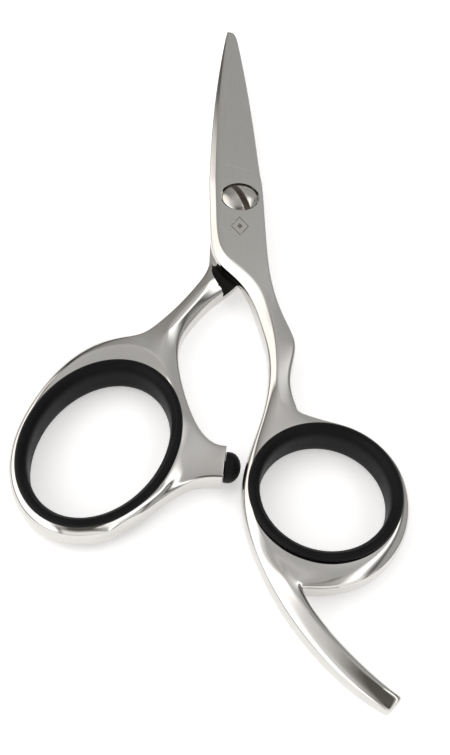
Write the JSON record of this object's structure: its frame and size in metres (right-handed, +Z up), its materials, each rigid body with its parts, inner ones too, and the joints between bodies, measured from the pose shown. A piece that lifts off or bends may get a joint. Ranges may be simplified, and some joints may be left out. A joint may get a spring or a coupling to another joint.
{
  "type": "hair cutting shears",
  "caption": "Short hair cutting shears with blunt-tipped straight blades, a slotted pivot screw, rubber-lined finger and thumb rings, a rubber closing bumper and a curved tang.",
  "frame": {"origin": "on the pivot axis, in the plane that the shears lie on: the outer end of the pivot nut and the undersides of both rubber inserts", "axes": "+Y along the closed blades to the tip, +Z up along the pivot axis to the screw head, +X towards the finger ring"},
  "size_m": [0.0625, 0.1555, 0.0073],
  "materials": {
    "polished_steel": "mirror-polished handles, satin blade faces",
    "screw_steel": "polished",
    "brass": "turned",
    "nylon": "plain moulded",
    "black_rubber": "smooth, semi-matt"
  },
  "bodies": {
    "finger_side": {"finger_half": "polished_steel", "finger_insert": "black_rubber", "pivot_bushing": "brass", "friction_washer": "nylon", "glide_washer": "nylon"},
    "thumb_side": {"thumb_half": "polished_steel", "thumb_insert": "black_rubber", "pivot_nut": "screw_steel", "bumper": "black_rubber"},
    "screw": {"pivot_screw": "screw_steel"}
  },
  "joints": [
    {"name": "blade_pivot", "type": "hinge", "parent": "finger_side", "child": "thumb_side", "pos_m": [0, 0, 0.0034], "axis": [0, 0, -1], "range_deg": [0, 75]},
    {"name": "tension_screw_turn", "type": "hinge", "parent": "thumb_side", "child": "screw", "pos_m": [0, 0, 0.0034], "axis": [0, 0, 1], "range_deg": [-45, 45]}
  ]
}
